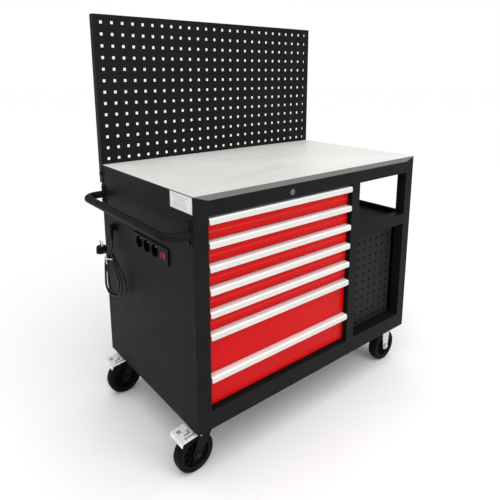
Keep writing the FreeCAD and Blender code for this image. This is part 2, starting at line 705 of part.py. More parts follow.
def make_swivel_plates():
    plates = []
    for y in (d.caster_inset, far_casters):
        x = d.swivel_inset
        race = cylinder(x, y, -d.plate_sheet - d.race_height, d.race_radius, d.race_height)
        pin_length = d.race_gap * 2 + d.crown_sheet
        pin = cylinder(x, y, -d.plate_sheet - d.race_height - pin_length, d.king_radius, pin_length)
        nut = hexagon(x, y, crown_top - d.crown_sheet - d.race_gap - d.king_nut_height, d.king_nut,
                      d.king_nut_height)
        plates.append(fused(mounting_plate(x, y), race, pin, nut))
    sub_part("swivel_plates", group(*plates))


def make_fixed_forks():
    forks = []
    for y in (d.caster_inset, far_casters):
        body = new_body("fixed_fork_body")
        leg_blank(body, -d.race_radius + 4, d.race_radius - 4, -d.plate_sheet, 0, -axle_drop)
        at(body, fixed_place, y, 0)
        forks.append(fused(body, mounting_plate(fixed_place, y)))
    sub_part("fixed_forks", group(*forks))


def axle_pin(x, y):
    head = d.axle_radius + 3
    half = leg_outer
    return fused(cylinder(x, y - half, -axle_drop, d.axle_radius, half * 2, "Y"),
                 hexagon(x, y - half - 5, -axle_drop, head + 1, 5, "Y"),
                 hexagon(x, y + half, -axle_drop, head + 1, 5, "Y"))


def make_wheel(place, x, y):
    tyre = new_body("tyre_body")
    section = new_sketch(tyre, "YZ_Plane")
    bed = wheel_radius - d.tyre_wall
    rectangle(section, 0, bed, d.wheel_width, d.tyre_wall)
    ring = revolve(tyre, section, "H_Axis")
    rounded(tyre, ring, d.tread_round,
            lambda edge, middle: near(math.hypot(middle.x, middle.z), wheel_radius)
            and edge.Curve.TypeId == "Part::GeomCircle")
    sub_part("tyre_" + place, tyre, x, y - d.wheel_width / 2, -axle_drop)
    hub = new_body("hub_body")
    section = new_sketch(hub, "YZ_Plane")
    half_boss = d.boss_width / 2
    half_web = d.web_width / 2
    half_rim = d.wheel_width / 2
    bore = d.axle_radius + d.axle_play
    rim = bed - d.rim_wall
    steps = [(half_boss, bore), (half_boss, d.boss_radius), (half_web, d.boss_radius), (half_web, rim),
             (half_rim, rim), (half_rim, bed)]
    mirrored = [(-across, up) for across, up in reversed(steps)]
    outline(section, steps + mirrored)
    revolve(hub, section, "H_Axis")
    sub_part("hub_" + place, hub, x, y, -axle_drop)


def make_pedal(label, y):
    """A pressed brake pedal: a wide tread plate, a lip at its outer edge, two cheeks and pivot stubs."""
    body = new_body(label + "_body")
    top = -d.pedal_depth
    low = top - d.pedal_drop
    wall = d.pedal_sheet
    cheek_inner = leg_outer + d.leg_gap
    cheek_outer = cheek_inner + d.pedal_cheek
    reach = d.stub_radius + 3
    pivot_z = -d.pedal_pivot_drop
    cheek = new_sketch(body, "XZ_Plane")
    outline(cheek, [(-d.pedal_inner - 22, top - wall * 1.6), (-d.pedal_inner, top - wall / 2),
                    (-d.pedal_pivot + reach, pivot_z), (-d.pedal_pivot, pivot_z - reach),
                    (-d.pedal_pivot - reach, pivot_z)])
    extrude(body, "Pad", cheek, cheek_outer * 2, side="Symmetric")
    gap = new_sketch(body, "XZ_Plane")
    rectangle(gap, -d.pedal_outer, pivot_z - d.leg_round, d.pedal_outer, d.leg_round - pivot_z)
    extrude(body, "Pocket", gap, cheek_inner * 2, side="Symmetric")
    side = new_sketch(body, "XZ_Plane")
    outline(side, [(-d.pedal_inner, top), (-d.pedal_outer, low), (-d.pedal_outer - wall, low - d.pedal_lip),
                   (-d.pedal_outer, low - d.pedal_lip), (-d.pedal_outer + wall, low - wall),
                   (-d.pedal_inner, top - wall)])
    extrude(body, "Pad", side, d.pedal_wide, side="Symmetric")
    at(body, d.swivel_inset, y, 0)
    stubs = []
    for start in (leg_inner + d.seam, -cheek_inner):
        stubs.append(cylinder(d.swivel_inset - d.pedal_pivot, y + start, pivot_z, d.stub_radius,
                              cheek_inner - leg_inner - d.seam, "Y"))
    sub_part(label, fused(body, *stubs))


def make_casters():
    rows = (("front", d.caster_inset), ("rear", far_casters))
    make_swivel_plates()
    make_fixed_forks()
    swivel_wheel = d.swivel_inset - d.swivel_trail
    for place, y in rows:
        make_swivel_fork("swivel_fork_" + place, y)
        sub_part("swivel_axle_" + place, axle_pin(swivel_wheel, y))
        make_pedal("brake_pedal_" + place, y)
        make_wheel("left_" + place, swivel_wheel, y)
        make_wheel("right_" + place, fixed_place, y)
    sub_part("fixed_axles", group(*[axle_pin(fixed_place, y) for _, y in rows]))


# ---------------------------------------------------------------- fasteners
def make_fasteners():
    heads = []
    for x in (d.swivel_inset, fixed_place):
        for y in (d.caster_inset, far_casters):
            for across in (-d.plate_pitch_long / 2, d.plate_pitch_long / 2):
                for along in (-d.plate_pitch_wide / 2, d.plate_pitch_wide / 2):
                    heads.append(hexagon(x + across, y + along, -d.plate_sheet - d.bolt_head_height,
                                         d.bolt_head, d.bolt_head_height))
    face = -d.handle_plate_sheet - d.seam - d.bolt_head_height
    for y in (d.handle_end, d.body_depth - d.handle_end):
        for up in (-d.bolt_pitch / 2, d.bolt_pitch / 2):
            heads.append(cylinder(face, y, d.handle_height + up, d.bolt_head, d.bolt_head_height, "X"))
    ear = board_face + d.board_flange / 2
    for x in (-d.board_overhang - d.bolt_head_height, d.body_width + d.board_overhang):
        heads.append(cylinder(x, ear, body_height - d.board_ear / 2, d.bolt_head, d.bolt_head_height, "X"))
    sub_part("fasteners", group(*heads))


# ---------------------------------------------------------------- mains lead
# The free stretch of the lead, from the end of the gland's sleeve down into the hank.
LEAD_ROUTE = [(-13, 500, 458), (-13, 500, 448.6), (-14.7, 498.7, 439.5), (-18.1, 496.1, 431.1),
              (-22.9, 492.4, 423.9), (-28.9, 487.8, 418.4), (-33.7, 484.2, 411.2), (-37.1, 481.6, 402.8),
              (-38.8, 480.3, 393.7), (-38.8, 480.3, 384.3)]


def lead_path(points):
    """Straight runs joined by tangent arcs, each as large as its two runs allow."""
    edges = []
    radii = []
    previous = points[0]
    for before, corner, after in zip(points, points[1:], points[2:]):
        back = before - corner
        ahead = after - corner
        shorter = min(back.Length, ahead.Length)
        half_turn = (math.pi - back.getAngle(ahead)) / 2
        reach = 0.49 * shorter
        radii.append(reach / math.tan(half_turn))
        back.normalize()
        ahead.normalize()
        start = corner + back * reach
        finish = corner + ahead * reach
        inward = (back + ahead).normalize()
        middle = corner + inward * (radii[-1] / math.cos(half_turn) - radii[-1])
        edges.append(Part.LineSegment(previous, start).toShape())
        edges.append(Part.Arc(start, middle, finish).toShape())
        previous = finish
    edges.append(Part.LineSegment(previous, points[-1]).toShape())
    return Part.Wire(edges), radii


def make_lead():
    """The lead's tube is a sweep along arcs in space, so its shape is set from the sheet's radius."""
    points = [Vector(*point) for point in LEAD_ROUTE]
    path, radii = lead_path(points)
    section = Part.Wire([Part.Circle(points[0], points[1] - points[0], value_of(d.lead_radius)).toShape()])
    tube = path.makePipeShell([section], True, True)
    expected = math.pi * value_of(d.lead_radius) ** 2 * path.Length
    print("lead radii", [round(radius, 1) for radius in radii], "length", round(path.Length, 1),
          "volume ratio", round(tube.Volume / expected, 4))
    lead = doc.addObject("Part::Feature", "lead_tube")
    lead.Shape = tube
    sub_part("mains_lead", lead)


# The hank's outline in its own plane, across and up from its lowest point, from the tie downwards.
HANK_OUTLINE = [(-34, 158), (-46, 125), (-46, 70), (-38, 16), (-16, 0), (24, 4), (44, 24), (44, 62),
                (30, 112), (2, 150), (-10, 158)]
HANK_PLACE = (-31, 455, 268)
HANK_TURN = -62               # degrees from x to the hank's plane, seen from above


def make_hank():
    body = new_body("hank_body")
    side = new_sketch(body, "XZ_Plane")
    outline(side, HANK_OUTLINE)
    pad = extrude(body, "Pad", side, d.hank_thickness, side="Symmetric")
    rounded(body, pad, d.hank_thickness * 0.3,
            lambda edge, middle: not runs_along(edge, Vector(0, 1, 0)) and middle.z < 150)
    turned(body, Vector(0, 0, 1), HANK_TURN)
    sub_part("lead_hank", body, *HANK_PLACE)


PLUG_PLACE = (-43, 525, 409)


def make_plug():
    """An angled plug: a flat round body, two pins upwards, and a sleeve that runs to the hank."""
    x, y, z = PLUG_PLACE
    body = cylinder(x, y, z, d.plug_radius, d.plug_thickness)
    sleeve = cone(x, y, z + d.plug_thickness / 2, d.lead_radius * 2.2, d.lead_radius * 1.2, 37, "Y")
    turned(sleeve, Vector(1, 0, 0), TURN)
    pins = []
    for side in (-d.pin_pitch / 2, d.pin_pitch / 2):
        pins.append(cylinder(x, y + side, z + d.plug_thickness, d.pin_radius, d.pin_length))
    sub_part("mains_plug", fused(body, sleeve, *pins))


# ---------------------------------------------------------------- build, check and write
def write_parts():
    doc.recompute()
    failed = [thing.Name for thing in doc.Objects if "Invalid" in thing.State or "Error" in thing.State]
    if failed:
        raise RuntimeError(f"failed objects: {failed}")
    for node in NODES:
        if node.Shape.isNull() or not node.Shape.isValid():
            raise RuntimeError(f"{node.Label} has no valid shape")
    os.makedirs("parts", exist_ok=True)
    for node in NODES:
        node.Shape.exportStep(f"parts/{node.Label}.step")
    print(len(NODES), "sub-parts written")


make_front_frame()
make_side_panels()
make_rear_and_base()
make_shelf()
make_back_board()
make_hook_panel()
make_worktop()
make_drawers()
make_uprights()
make_handle()
make_power_strip()
make_gland()
make_lock()
make_casters()
make_fasteners()
make_lead()
make_hank()
make_plug()
write_parts()
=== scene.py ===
"""Looks of the mobile workbench: camera, finishes, mains lead, wheels, small trim, floor and light.

Metres, in the frame of the CAD model. Cabinet coordinates (cab) are millimetres from the lower left front
corner of the body: x along the front, y to the rear, z up.
"""
import json
import math

import bmesh
import bpy
from mathutils import Matrix, Vector


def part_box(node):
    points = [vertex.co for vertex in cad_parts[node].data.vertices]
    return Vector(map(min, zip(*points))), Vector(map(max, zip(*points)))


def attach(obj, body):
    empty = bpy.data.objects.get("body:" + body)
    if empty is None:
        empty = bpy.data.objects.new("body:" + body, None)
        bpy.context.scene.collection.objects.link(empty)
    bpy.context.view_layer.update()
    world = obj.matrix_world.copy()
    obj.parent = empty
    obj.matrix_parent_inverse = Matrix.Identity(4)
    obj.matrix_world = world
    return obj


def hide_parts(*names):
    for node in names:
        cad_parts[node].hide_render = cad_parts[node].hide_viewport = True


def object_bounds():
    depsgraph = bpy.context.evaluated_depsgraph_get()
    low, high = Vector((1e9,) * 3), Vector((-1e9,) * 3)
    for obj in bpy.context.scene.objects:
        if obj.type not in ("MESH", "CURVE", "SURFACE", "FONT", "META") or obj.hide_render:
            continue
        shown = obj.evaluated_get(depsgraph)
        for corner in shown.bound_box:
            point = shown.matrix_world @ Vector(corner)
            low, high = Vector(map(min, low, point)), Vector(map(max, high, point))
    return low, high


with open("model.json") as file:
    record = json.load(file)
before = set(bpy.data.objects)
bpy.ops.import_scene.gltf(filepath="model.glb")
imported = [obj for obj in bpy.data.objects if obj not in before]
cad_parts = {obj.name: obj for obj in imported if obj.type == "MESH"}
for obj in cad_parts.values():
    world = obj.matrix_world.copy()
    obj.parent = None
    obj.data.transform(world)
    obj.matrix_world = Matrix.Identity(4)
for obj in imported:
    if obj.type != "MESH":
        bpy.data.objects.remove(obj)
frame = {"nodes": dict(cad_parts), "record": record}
cad_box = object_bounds()

MM = 0.001
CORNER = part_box("front_frame")[0]
UP = Vector((0, 0, 1))
WELD = 1e-6                  # vertices nearer than this are one, m


def cab(x, y, z):
    """A point given in cabinet millimetres, in the row frame."""
    return CORNER + Vector((x, y, z)) * MM


# ---------------------------------------------------------------- camera
CAMERA_PLACE = (-1.0998, -1.3165, 1.1708)
CAMERA_TURN = 39.18          # degrees to the right of straight ahead
CAMERA_DIP = 11.94           # degrees below the horizon
CAMERA_LENS = 34.67
CAMERA_SHIFT = -0.15


def make_camera():
    data = bpy.data.cameras.new("camera")
    data.lens = CAMERA_LENS
    data.sensor_width = 36
    data.shift_y = CAMERA_SHIFT
    camera = bpy.data.objects.new("camera", data)
    turn, dip = math.radians(CAMERA_TURN), math.radians(CAMERA_DIP)
    ahead = Vector((math.sin(turn) * math.cos(dip), math.cos(turn) * math.cos(dip), -math.sin(dip)))
    camera.rotation_mode = "QUATERNION"
    camera.rotation_quaternion = ahead.to_track_quat("-Z", "Y")
    camera.location = CAMERA_PLACE
    bpy.context.scene.collection.objects.link(camera)
    bpy.context.scene.camera = camera


# ---------------------------------------------------------------- mesh helpers
def add_object(name, data, body, material):
    piece = bpy.data.objects.new(name, data)
    bpy.context.scene.collection.objects.link(piece)
    data.materials.append(material)
    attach(piece, body)
    return piece


def mesh_object(name, bm, body, material, smooth=35):
    """A mesh whose edges stay sharp where its faces meet at more than `smooth` degrees."""
    bmesh.ops.recalc_face_normals(bm, faces=bm.faces)
    limit = math.radians(smooth)
    for edge in bm.edges:
        edge.smooth = len(edge.link_faces) == 2 and edge.calc_face_angle(0) < limit
    for face in bm.faces:
        face.smooth = True
    mesh = bpy.data.meshes.new(name)
    bm.to_mesh(mesh)
    bm.free()
    return add_object(name, mesh, body, material)


def join_into(bm, other, matrix=None):
    """Add the mesh `other` to `bm`, moved by `matrix`."""
    if matrix is not None:
        bmesh.ops.transform(other, matrix=matrix, verts=other.verts)
    mesh = bpy.data.meshes.new("part")
    other.to_mesh(mesh)
    other.free()
    bm.from_mesh(mesh)
    bpy.data.meshes.remove(mesh)


def block(size, bevel=0.0, segments=3):
    """A box with its middle at the origin and rounded edges."""
    bm = bmesh.new()
    bmesh.ops.create_cube(bm, size=1)
    bmesh.ops.scale(bm, vec=size, verts=bm.verts)
    if bevel:
        bmesh.ops.bevel(bm, geom=list(bm.edges), offset=bevel, segments=segments, profile=0.5,
                        affect="EDGES")
    return bm


def lathe(profile, steps=64):
    """A solid turned about Z from (radius, height) points; the ends on the axis have radius 0."""
    bm = bmesh.new()
    rings = []
    for radius, height in profile:
        if radius < 1e-7:
            rings.append([bm.verts.new((0, 0, height))])
            continue
        ring = []
        for step in range(steps):
            angle = math.tau * step / steps
            ring.append(bm.verts.new((radius * math.cos(angle), radius * math.sin(angle), height)))
        rings.append(ring)
    for low, high in zip(rings, rings[1:]):
        for step in range(steps):
            after = (step + 1) % steps
            corners = [low[step % len(low)], low[after % len(low)],
                       high[after % len(high)], high[step % len(high)]]
            corners = list(dict.fromkeys(corners))
            if len(corners) > 2:
                bm.faces.new(corners)
    return bm


def axis_matrix(place, direction):
    """Turns Z to a direction and moves the origin to a place."""
    return Matrix.Translation(place) @ Vector(direction).to_track_quat("Z", "Y").to_matrix().to_4x4()


# ---------------------------------------------------------------- finishes
class Finish:
    """A procedural material: a Principled shader and the small node chains that feed it."""

    def __init__(self, name, colour, roughness, metallic=0.0, **sockets):
        self.material = bpy.data.materials.new(name)
        self.material.use_nodes = True
        self.nodes = self.material.node_tree.nodes
        self.links = self.material.node_tree.links
        self.shader = self.nodes["Principled BSDF"]
        self.colour = colour
        self.set("Base Color", (*colour, 1))
        self.set("Roughness", roughness)
        self.set("Metallic", metallic)
        for socket, value in sockets.items():
            self.set(socket.replace("_", " "), value)
        self.normal = None
        coordinates = self.nodes.new("ShaderNodeTexCoord")
        self.place = coordinates.outputs["Object"]
        self.facing = coordinates.outputs["Normal"]

    def set(self, socket, value):
        self.shader.inputs[socket].default_value = value

    def mapped(self, scale):
        """The place on the object, scaled along each axis."""
        mapping = self.nodes.new("ShaderNodeMapping")
        mapping.inputs["Scale"].default_value = scale
        self.links.new(self.place, mapping.inputs["Vector"])
        return mapping.outputs["Vector"]

    def noise(self, size, stretch=(1, 1, 1), detail=3.0, rough=0.5):
        """Noise whose features are `size` metres across, longer along axes with a stretch above 1."""
        texture = self.nodes.new("ShaderNodeTexNoise")
        texture.inputs["Scale"].default_value = 1.0
        texture.inputs["Detail"].default_value = detail
        texture.inputs["Roughness"].default_value = rough
        self.links.new(self.mapped([1 / (size * factor) for factor in stretch]), texture.inputs["Vector"])
        return texture.outputs["Fac"]

    def cells(self, size):
        """Distance from the middles of cells about `size` metres across."""
        texture = self.nodes.new("ShaderNodeTexVoronoi")
        texture.inputs["Scale"].default_value = 1.0
        self.links.new(self.mapped([1 / size] * 3), texture.inputs["Vector"])
        return texture.outputs["Distance"]

    def waves(self, size, direction):
        """Even waves across one axis."""
        texture = self.nodes.new("ShaderNodeTexWave")
        texture.bands_direction = direction
        texture.wave_profile = "SIN"
        texture.inputs["Scale"].default_value = 1 / 3.2
        texture.inputs["Distortion"].default_value = 0.0
        self.links.new(self.mapped([1 / size] * 3), texture.inputs["Vector"])
        return texture.outputs["Fac"]

    def spread(self, factor, low, high, start=0.3, end=0.7):
        """A factor mapped from start..end to low..high."""
        node = self.nodes.new("ShaderNodeMapRange")
        node.inputs["From Min"].default_value = start
        node.inputs["From Max"].default_value = end
        node.inputs["To Min"].default_value = low
        node.inputs["To Max"].default_value = high
        self.links.new(factor, node.inputs["Value"])
        return node.outputs["Result"]

    def tint(self, factor, low, high, start=0.3, end=0.7):
        """The base colour drifts between two multiples of itself."""
        ramp = self.nodes.new("ShaderNodeValToRGB")
        ramp.color_ramp.elements[0].position = start
        ramp.color_ramp.elements[1].position = end
        ramp.color_ramp.elements[0].color = (*[min(1, c * low) for c in self.colour], 1)
        ramp.color_ramp.elements[1].color = (*[min(1, c * high) for c in self.colour], 1)
        self.links.new(factor, ramp.inputs["Fac"])
        self.links.new(ramp.outputs["Color"], self.shader.inputs["Base Color"])
        return self

    def dust_and_painted_light(self, factor, colour, amount, start=0.55, end=0.75):
        """A second colour laid over the first where the factor is high: real dust and specks on some
        finishes, painted highlights and a painted reflection on others.
        """
        mix = self.nodes.new("ShaderNodeMix")
        mix.data_type = "RGBA"
        base = self.shader.inputs["Base Color"]
        if base.is_linked:
            self.links.new(base.links[0].from_socket, mix.inputs["A"])
        else:
            mix.inputs["A"].default_value = base.default_value
        mix.inputs["B"].default_value = (*colour, 1)
        self.links.new(self.spread(factor, 0, amount, start, end), mix.inputs["Factor"])
        self.links.new(mix.outputs["Result"], base)
        return self

    def facing_up(self, start=0.5, end=0.9):
        """0 on upright faces and 1 on faces that look up."""
        split = self.nodes.new("ShaderNodeSeparateXYZ")
        self.links.new(self.facing, split.inputs["Vector"])
        return self.spread(split.outputs["Z"], 0, 1, start, end)

    def sheen(self, factor, low, high, start=0.3, end=0.7):
        """The roughness drifts between two values."""
        self.links.new(self.spread(factor, low, high, start, end), self.shader.inputs["Roughness"])
        return self

    def bump(self, factor, height, strength=1.0):
        """Relief up to `height` metres, laid over any relief that is there."""
        node = self.nodes.new("ShaderNodeBump")
        node.inputs["Distance"].default_value = height
        node.inputs["Strength"].default_value = strength
        self.links.new(factor, node.inputs["Height"])
        if self.normal is not None:
            self.links.new(self.normal, node.inputs["Normal"])
        self.normal = node.outputs["Normal"]
        self.links.new(self.normal, self.shader.inputs["Normal"])
        return self

    def soft_edges(self, radius):
        """Folded sheet has no razor edges: the shading is rounded over this radius."""
        node = self.nodes.new("ShaderNodeBevel")
        node.samples = 4
        node.inputs["Radius"].default_value = radius
        self.normal = node.outputs["Normal"]
        self.links.new(self.normal, self.shader.inputs["Normal"])
        return self


def powder_coat(name, colour, roughness):
    """Black powder coat: orange peel, uneven gloss and a few pale specks."""
    made = Finish(name, colour, roughness, Specular_IOR_Level=0.06)
    made.soft_edges(1.2 * MM)
    made.bump(made.noise(1.4 * MM, detail=2), 0.05 * MM, 0.6)
    made.tint(made.noise(160 * MM, detail=4), 0.9, 1.12)
    made.sheen(made.noise(70 * MM, detail=5, rough=0.6), roughness - 0.03, roughness + 0.05)
    made.dust_and_painted_light(made.noise(2.2 * MM, detail=4, rough=0.7), (0.05, 0.05, 0.05), 0.12, 0.66, 0.8)
    return made.material


def red_enamel():
    """Red enamel, with a painted highlight: faces that look up, such as the creases in the sheet, are painted
    a lighter red.
    """
    made = Finish("red_enamel", (0.56, 0.003, 0.0045), 0.3, Specular_IOR_Level=0.08, Coat_Weight=0.03,
                  Coat_Roughness=0.12)
    made.soft_edges(0.9 * MM)
    made.bump(made.noise(5 * MM, detail=2), 0.02 * MM, 0.5)
    made.tint(made.noise(190 * MM, detail=3), 0.95, 1.04)
    # painted highlight: faces that look up are painted a lighter red
    made.dust_and_painted_light(made.facing_up(0.05, 0.3), (0.8, 0.03, 0.02), 0.6, 0.1, 0.9)
    made.sheen(made.noise(40 * MM, detail=5, rough=0.6), 0.27, 0.35)
    return made.material


def brushed_steel(name, colour, low, high, grain=0.35):
    """Sheet brushed along X, with cross scratches and faint patches; its upright edges are painted dark grey
    as a painted reflection of dark surroundings.
    """
    made = Finish(name, colour, low, 0.2, Anisotropic=0.35)
    made.soft_edges(0.8 * MM)
    lines = made.noise(grain * MM, (500, 1, 1), 3, 0.65)
    made.bump(lines, 0.012 * MM, 0.5)
    made.bump(made.noise(0.5 * MM, (1, 260, 1), 1), 0.006 * MM, 0.25)
    made.tint(made.noise(260 * MM, (1.6, 0.8, 1), 3, 0.5), 0.94, 1.03)
    made.sheen(made.noise(170 * MM, (1.5, 0.7, 1), 4, 0.6), low, high)
    # painted reflection: upright faces, such as the turned-down front edge, are painted dark grey
    made.dust_and_painted_light(made.spread(made.facing_up(), 1, 0, 0, 1), (0.105, 0.105, 0.1), 0.95, 0.1, 0.9)
    return made.material


def anodised(name, colour):
    """Extruded aluminium: die lines along X under a satin anodised skin, with a painted highlight that makes
    its upward faces brighter.
    """
    made = Finish(name, colour, 0.4, 0.12)
    made.soft_edges(0.6 * MM)
    made.bump(made.noise(0.5 * MM, (900, 1, 1), 2), 0.01 * MM, 0.5)
    made.tint(made.noise(60 * MM, (6, 1, 1), 3), 0.93, 1.05)
    # painted highlight: faces that look up are painted nearly white
    made.dust_and_painted_light(made.facing_up(0.3, 0.7), (0.93, 0.97, 0.95), 0.95, 0.1, 0.9)
    made.sheen(made.noise(25 * MM, (8, 1, 1), 4), 0.34, 0.46)
    return made.material


def zinc_plate(name, colour, low, high, metallic=0.85, **sockets):
    """Zinc plate with a faint spangle."""
    made = Finish(name, colour, low, metallic, **sockets)
    made.soft_edges(0.7 * MM)
    made.tint(made.cells(7 * MM), 0.82, 1.1, 0.1, 0.8)
    made.sheen(made.noise(18 * MM, detail=5), low, high)
    made.bump(made.noise(1.1 * MM, detail=3), 0.02 * MM, 0.5)
    return made.material


def chrome():
    """Bright plated pins."""
    made = Finish("chrome", (0.82, 0.82, 0.82), 0.1, 1.0)
    made.tint(made.noise(9 * MM), 0.94, 1.03)
    made.sheen(made.noise(3 * MM, detail=4), 0.08, 0.18)
    made.bump(made.noise(0.6 * MM), 0.005 * MM, 0.3)
    return made.material


def moulded(name, colour, roughness, grain=0.5, **sockets):
    """Moulded plastic or rubber with a fine spark-eroded grain."""
    made = Finish(name, colour, roughness, **sockets)
    made.bump(made.cells(grain * MM), 0.02 * MM, 0.5)
    made.tint(made.noise(30 * MM, detail=4), 0.85, 1.2)
    made.sheen(made.noise(12 * MM, detail=5), roughness - 0.06, roughness + 0.07)
    return made.material


def tyre_rubber():
    """Black rubber with patches of floor dust."""
    made = Finish("tyre_rubber", (0.0035, 0.0035, 0.0035), 0.62, Specular_IOR_Level=0.09)
    made.bump(made.noise(0.8 * MM, detail=4, rough=0.7), 0.05 * MM, 0.6)
    made.tint(made.noise(22 * MM, detail=5), 0.7, 1.5)
    made.dust_and_painted_light(made.noise(9 * MM, detail=6, rough=0.75), (0.03, 0.028, 0.026), 0.25, 0.56, 0.72)
    made.sheen(made.noise(6 * MM, detail=4), 0.52, 0.74)
    return made.material


def pressed_board():
    """Chipboard, seen at the edges of the worktop's core."""
    made = Finish("pressed_board", (0.42, 0.29, 0.17), 0.75)
    made.tint(made.noise(5 * MM, (3, 3, 0.6), 5, 0.7), 0.6, 1.35)
    made.bump(made.noise(1.5 * MM, (2, 2, 1), 4), 0.15 * MM, 0.8)
    return made.material


def printed_paper():
    """White label stock."""
    made = Finish("printed_paper", (0.86, 0.86, 0.85), 0.35)
    made.tint(made.noise(14 * MM, detail=4), 0.96, 1.03)
    made.bump(made.noise(1.2 * MM, detail=4), 0.01 * MM, 0.4)
    made.sheen(made.noise(9 * MM), 0.3, 0.42)
    return made.material


def ribbed_mat():
    """Rubber drawer liner with ribs that run across the drawer."""
    made = Finish("ribbed_mat", (0.02, 0.02, 0.021), 0.7)
    made.bump(made.waves(5 * MM, "Y"), 0.6 * MM, 0.8)
    made.bump(made.noise(0.7 * MM, detail=3), 0.03 * MM, 0.5)
    made.tint(made.noise(60 * MM, detail=4), 0.8, 1.3)
    return made.material


BLACK = powder_coat("black_powder_coat", (0.0088, 0.0088, 0.0088), 0.5)
BOARD_BLACK = powder_coat("board_powder_coat", (0.0085, 0.0085, 0.0087), 0.45)
PANEL_BLACK = powder_coat("hook_panel_powder_coat", (0.018, 0.018, 0.018), 0.5)
RED = red_enamel()
STEEL = brushed_steel("worktop_steel", (0.9, 0.905, 0.865), 0.36, 0.48)
GRIP = anodised("grip_aluminium", (0.64, 0.645, 0.61))
ZINC = zinc_plate("zinc", (0.62, 0.63, 0.62), 0.28, 0.42)
LOCK_FACE = zinc_plate("lock_face", (0.14, 0.14, 0.14), 0.24, 0.36, 0.9)
BLACK_ZINC = zinc_plate("black_zinc", (0.006, 0.006, 0.006), 0.45, 0.6, 0.0, Specular_IOR_Level=0.12)
PEDAL = zinc_plate("pedal_zinc", (0.86, 0.86, 0.84), 0.38, 0.5, 0.15)
EMBOSSED = zinc_plate("pedal_embossing", (0.34, 0.34, 0.335), 0.4, 0.55, 0.3)
CHROME = chrome()
TYRE = tyre_rubber()
HUB = moulded("hub_plastic", (0.003, 0.003, 0.0031), 0.5, 0.7, Specular_IOR_Level=0.1)
PLASTIC = moulded("black_plastic", (0.0035, 0.0035, 0.0035), 0.45, 0.45, Specular_IOR_Level=0.07)
ROCKER = moulded("rocker_plastic", (0.17, 0.002, 0.024), 0.3, 0.9, Specular_IOR_Level=0.08,
                 Coat_Weight=0.03)
CABLE = moulded("cable_jacket", (0.005, 0.005, 0.005), 0.36, 0.8, Specular_IOR_Level=0.35)
CORE = pressed_board()
PAPER = printed_paper()
MAT = ribbed_mat()

SLOT_MATERIAL = {
    "black_powder_coat": BLACK, "red_enamel": RED, "worktop_steel": STEEL, "grip_aluminium": GRIP,
    "zinc": ZINC, "black_zinc": BLACK_ZINC, "white_zinc": PEDAL, "chrome": CHROME,
    "black_tyre": TYRE, "hub_plastic": HUB, "black_plastic": PLASTIC, "red_plastic": ROCKER,
    "black_cable": CABLE, "core_board": CORE,
}


def dress_nodes():
    """Each CAD node takes the material of its slot in the record; three have a shade of their own."""
    for part in frame["record"]["subparts"]:
        node = frame["nodes"][part["node"]]
        node.data.materials.clear()
        node.data.materials.append(SLOT_MATERIAL[part["material_slot"]])
    frame["nodes"]["back_board"].data.materials[0] = BOARD_BLACK
    frame["nodes"]["hook_panel"].data.materials[0] = PANEL_BLACK
    frame["nodes"]["lock_cylinder"].data.materials[0] = LOCK_FACE


# ---------------------------------------------------------------- mains lead
LEAD_RADIUS = 3.5 * MM
# The free stretch of the lead, as in the CAD model, in cabinet millimetres.
LEAD_ROUTE = [(-13, 500, 458), (-13, 500, 448.6), (-14.7, 498.7, 439.5), (-18.1, 496.1, 431.1),
              (-22.9, 492.4, 423.9), (-28.9, 487.8, 418.4), (-33.7, 484.2, 411.2), (-37.1, 481.6, 402.8),
              (-38.8, 480.3, 393.7), (-38.8, 480.3, 384.3)]
HANK_PLACE = Vector((-31, 455, 268))
HANK_TURN = math.radians(-62)
ALONG_HANK = Vector((math.cos(HANK_TURN), math.sin(HANK_TURN), 0))
OUT_OF_HANK = Vector((-math.sin(HANK_TURN), math.cos(HANK_TURN), 0))
LAYER = 3.9                  # half the distance between the hank's two layers of turns, mm
LAYER_CHANGE = 0.6           # a turn's first point lies back by this share of its change of layer
FOLD_HEIGHT = 146.5          # where the folds over the tie begin, above the foot of the hank, mm
FOLD_STEP = math.pi / 5      # turn between two points of a fold
FOLD_POINTS = 7


def in_hank(across, out, up):
    """A point of the hank's own plane, in cabinet millimetres."""
    return HANK_PLACE + ALONG_HANK * across + OUT_OF_HANK * out + UP * up


# One side of a turn: shares of the way from the column at the tie out to the full reach, with the share of
# the height, then shares of the way from the middle out to the full reach along the bottom.
LEFT_SIDE = ((0.52, 0.88), (0.88, 0.68), (1.0, 0.46)), ((0.99, 0.24), (0.8, 0.08), (0.42, 0.01))
RIGHT_SIDE = ((0.3, 0.89), (0.62, 0.71), (0.88, 0.5)), ((1.0, 0.27), (0.88, 0.1), (0.48, 0.01))


def half_turn(column, reach, middle, low, out, shares):
    """Points down one side of a turn, from the column (across, up) at the tie."""
    across, height = column
    upper, lower = shares
    points = [(across + (reach - across) * side, low + (height - low) * share) for side, share in upper]
    points += [(middle + (reach - middle) * side, low + (height - low) * share) for side, share in lower]
    return [in_hank(side, out, up) for side, up in points]


def turn(start, finish, left, right, low, layers, down_on_left):
    """One whole turn of the hank from the column `start` round the bottom up to the column `finish`."""
    down_reach, down_shares = (left, LEFT_SIDE) if down_on_left else (right, RIGHT_SIDE)
    up_reach, up_shares = (right, RIGHT_SIDE) if down_on_left else (left, LEFT_SIDE)
    middle = (left + right) / 2
    points = half_turn(start, down_reach, middle, low, layers[1], down_shares)
    points[0] -= OUT_OF_HANK * (layers[1] - layers[0]) * LAYER_CHANGE
    points.append(in_hank(middle, layers[1], low - 1))
    return points + half_turn(finish, up_reach, middle, low, layers[1], up_shares)[::-1]


def top_fold(start, finish, out):
    """The half circle over the tie that joins one turn to the next."""
    middle, radius = (start + finish) / 2, (start - finish) / 2
    corner = 1 / math.cos(FOLD_STEP / 2)
    points = []
    for count in range(FOLD_POINTS):
        angle = FOLD_STEP * (count - 0.5)
        points.append(in_hank(middle + radius * corner * math.cos(angle), out,
                              FOLD_HEIGHT + abs(radius) * corner * math.sin(angle)))
    return points


